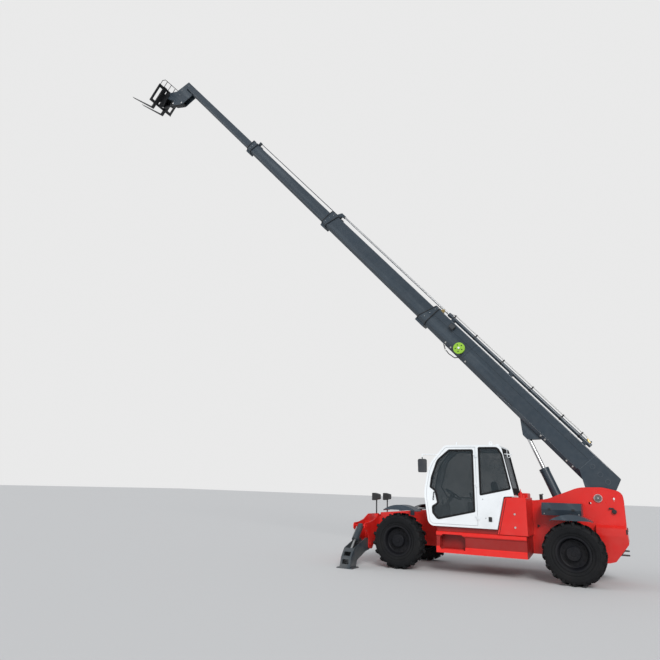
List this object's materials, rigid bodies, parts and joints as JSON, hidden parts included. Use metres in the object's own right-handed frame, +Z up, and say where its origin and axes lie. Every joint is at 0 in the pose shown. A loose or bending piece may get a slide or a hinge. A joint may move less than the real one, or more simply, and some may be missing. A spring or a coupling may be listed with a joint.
{
  "type": "telehandler",
  "caption": "Wheeled telescopic handler with a multi-stage boom, fork carriage, side cab, steered axles and folding front stabilisers.",
  "frame": {"origin": "on the ground, on the centreline, midway between the axles", "axes": "+X forwards, +Y to the left, +Z up"},
  "size_m": [16.8558, 3.8, 17.3865],
  "materials": {
    "frame_red": "gloss",
    "cab_white": "gloss",
    "leg_grey": "satin",
    "boom_grey": "satin",
    "dark_steel": "satin",
    "rim_paint": "satin",
    "bright_steel": "polished",
    "reel_green": "satin",
    "seal_rubber": "moulded",
    "iron": "cast",
    "tyre": "moulded",
    "glass": "clear",
    "plastic": "grained",
    "lamp_plastic": "gloss"
  },
  "bodies": {
    "root": {"chassis_frame": "frame_red", "pivot_pins": "dark_steel", "ballast": "frame_red", "tow_hitch": "dark_steel", "axles": "iron", "drive_line": "iron", "fenders": "leg_grey", "step_panel": "frame_red", "tank_cover": "frame_red", "deck_fittings": "frame_red", "tool_box": "leg_grey", "engine_bay": "frame_red", "engine_block": "iron", "exhaust": "dark_steel", "cab_shell": "cab_white", "cab_glass": "glass", "driver_seat": "plastic", "steering_column": "plastic", "mirror_arm": "plastic", "roof_fittings": "dark_steel", "stabiliser_bracket": "frame_red", "headlamps": "lamp_plastic"},
    "door": {"cab_door": "cab_white", "door_glass": "glass"},
    "hood": {"engine_hood": "frame_red"},
    "boom_1": {"boom_section_1": "boom_grey", "extension_barrel": "dark_steel", "hose_reel": "reel_green"},
    "boom_2": {"boom_section_2": "boom_grey", "extension_rod": "bright_steel"},
    "boom_3": {"boom_section_3": "boom_grey"},
    "boom_4": {"boom_section_4": "boom_grey"},
    "tilt_barrel": {"tilt_barrel": "dark_steel"},
    "tilt_rod": {"tilt_rod": "bright_steel"},
    "carriage": {"carriage": "dark_steel", "forks": "dark_steel"},
    "lift_barrel": {"lift_barrel": "dark_steel"},
    "lift_rod": {"lift_rod": "bright_steel"},
    "leg_left": {"stabiliser_leg_left": "leg_grey"},
    "ram_barrel_left": {"ram_barrel_left": "dark_steel"},
    "ram_rod_left": {"ram_rod_left": "bright_steel"},
    "leg_right": {"stabiliser_leg_right": "leg_grey"},
    "ram_barrel_right": {"ram_barrel_right": "dark_steel"},
    "ram_rod_right": {"ram_rod_right": "bright_steel"},
    "knuckle_front_left": {"knuckle_front_left": "iron"},
    "wheel_front_left": {"tyre_front_left": "tyre", "rim_front_left": "rim_paint"},
    "knuckle_front_right": {"knuckle_front_right": "iron"},
    "wheel_front_right": {"tyre_front_right": "tyre", "rim_front_right": "rim_paint"},
    "knuckle_rear_left": {"knuckle_rear_left": "iron"},
    "wheel_rear_left": {"tyre_rear_left": "tyre", "rim_rear_left": "rim_paint"},
    "knuckle_rear_right": {"knuckle_rear_right": "iron"},
    "wheel_rear_right": {"tyre_rear_right": "tyre", "rim_rear_right": "rim_paint"}
  },
  "joints": [
    {"name": "door_swing", "type": "hinge", "parent": "root", "child": "door", "pos_m": [0.003, 1.164, 1.18], "axis": [0, 0, 1], "range_deg": [0, 95]},
    {"name": "hood_lift", "type": "hinge", "parent": "root", "child": "hood", "pos_m": [0, -0.312, 1.53], "axis": [-1, 0, 0], "range_deg": [0, 65]},
    {"name": "boom_lift", "type": "hinge", "parent": "root", "child": "boom_1", "pos_m": [-2.325, 0, 1.658], "axis": [0, -1, 0], "range_deg": [-48, 18]},
    {"name": "boom_extend_2", "type": "slide", "parent": "boom_1", "child": "boom_2", "axis": [0.6691, 0, 0.7431], "range_m": [-4.3, 0]},
    {"name": "boom_extend_3", "type": "slide", "parent": "boom_2", "child": "boom_3", "axis": [0.6691, 0, 0.7431], "range_m": [-4.3, 0]},
    {"name": "boom_extend_4", "type": "slide", "parent": "boom_3", "child": "boom_4", "axis": [0.6691, 0, 0.7431], "range_m": [-4.3, 0]},
    {"name": "fork_tilt", "type": "hinge", "parent": "boom_4", "child": "carriage", "pos_m": [12.12172, 0, 16.88822], "axis": [0, -1, 0], "range_deg": [-45, 20]},
    {"name": "tilt_barrel_swing", "type": "hinge", "parent": "boom_4", "child": "tilt_barrel", "pos_m": [11.36008, 0, 16.28892], "axis": [0, -1, 0], "range_deg": [-10, 10]},
    {"name": "tilt_rod_slide", "type": "slide", "parent": "tilt_barrel", "child": "tilt_rod", "axis": [0.9785, 0, 0.2061], "range_m": [-0.37, 0.17]},
    {"name": "lift_barrel_swing", "type": "hinge", "parent": "root", "child": "lift_barrel", "pos_m": [-1.69, 0, 1.2], "axis": [0, -1, 0], "range_deg": [-50, 20]},
    {"name": "lift_rod_slide", "type": "slide", "parent": "lift_barrel", "child": "lift_rod", "axis": [0.378, 0, 0.9258], "range_m": [-0.62, 0.24]},
    {"name": "stabiliser_left", "type": "hinge", "parent": "root", "child": "leg_left", "pos_m": [2.79, 0.8, 0.45], "axis": [1, 0, 0], "range_deg": [0, 30]},
    {"name": "ram_swing_left", "type": "hinge", "parent": "root", "child": "ram_barrel_left", "pos_m": [2.79, 1.06, 0.86], "axis": [1, 0, 0], "range_deg": [-1, 32]},
    {"name": "ram_slide_left", "type": "slide", "parent": "ram_barrel_left", "child": "ram_rod_left", "axis": [0, 0.7139, -0.7002], "range_m": [-0.26, 0.01]},
    {"name": "stabiliser_right", "type": "hinge", "parent": "root", "child": "leg_right", "pos_m": [2.79, -0.8, 0.45], "axis": [-1, 0, 0], "range_deg": [0, 30]},
    {"name": "ram_swing_right", "type": "hinge", "parent": "root", "child": "ram_barrel_right", "pos_m": [2.79, -1.06, 0.86], "axis": [-1, 0, 0], "range_deg": [-1, 32]},
    {"name": "ram_slide_right", "type": "slide", "parent": "ram_barrel_right", "child": "ram_rod_right", "axis": [0, -0.7139, -0.7002], "range_m": [-0.26, 0.01]},
    {"name": "steer_front_left", "type": "hinge", "parent": "root", "child": "knuckle_front_left", "pos_m": [1.835, 0.735, 0.595], "axis": [0, 0, 1], "range_deg": [-25, 25]},
    {"name": "wheel_front_left", "type": "hinge", "parent": "knuckle_front_left", "child": "wheel_front_left", "pos_m": [1.835, 0.985, 0.595], "axis": [0, 1, 0], "continuous": true},
    {"name": "steer_front_right", "type": "hinge", "parent": "root", "child": "knuckle_front_right", "pos_m": [1.835, -0.735, 0.595], "axis": [0, 0, 1], "range_deg": [-25, 25]},
    {"name": "wheel_front_right", "type": "hinge", "parent": "knuckle_front_right", "child": "wheel_front_right", "pos_m": [1.835, -0.985, 0.595], "axis": [0, 1, 0], "continuous": true},
    {"name": "steer_rear_left", "type": "hinge", "parent": "root", "child": "knuckle_rear_left", "pos_m": [-1.835, 0.735, 0.595], "axis": [0, 0, 1], "range_deg": [-25, 25]},
    {"name": "wheel_rear_left", "type": "hinge", "parent": "knuckle_rear_left", "child": "wheel_rear_left", "pos_m": [-1.835, 0.985, 0.595], "axis": [0, 1, 0], "continuous": true},
    {"name": "steer_rear_right", "type": "hinge", "parent": "root", "child": "knuckle_rear_right", "pos_m": [-1.835, -0.735, 0.595], "axis": [0, 0, 1], "range_deg": [-25, 25]},
    {"name": "wheel_rear_right", "type": "hinge", "parent": "knuckle_rear_right", "child": "wheel_rear_right", "pos_m": [-1.835, -0.985, 0.595], "axis": [0, 1, 0], "continuous": true}
  ],
  "couplings": [
    {"joint": "boom_extend_3", "follows": "boom_extend_2", "ratio": 1},
    {"joint": "boom_extend_4", "follows": "boom_extend_2", "ratio": 1},
    {"joint": "lift_barrel_swing", "follows": "boom_lift", "ratio": 1.02},
    {"joint": "lift_rod_slide", "follows": "boom_lift", "m_per_rad": 0.72},
    {"joint": "tilt_barrel_swing", "follows": "fork_tilt", "ratio": 0.1},
    {"joint": "tilt_rod_slide", "follows": "fork_tilt", "m_per_rad": 0.45},
    {"joint": "steer_front_right", "follows": "steer_front_left", "ratio": 1},
    {"joint": "steer_rear_right", "follows": "steer_rear_left", "ratio": 1},
    {"joint": "ram_swing_left", "follows": "stabiliser_left", "ratio": 1.01},
    {"joint": "ram_slide_left", "follows": "stabiliser_left", "m_per_rad": -0.48},
    {"joint": "ram_swing_right", "follows": "stabiliser_right", "ratio": 1.01},
    {"joint": "ram_slide_right", "follows": "stabiliser_right", "m_per_rad": -0.48}
  ]
}
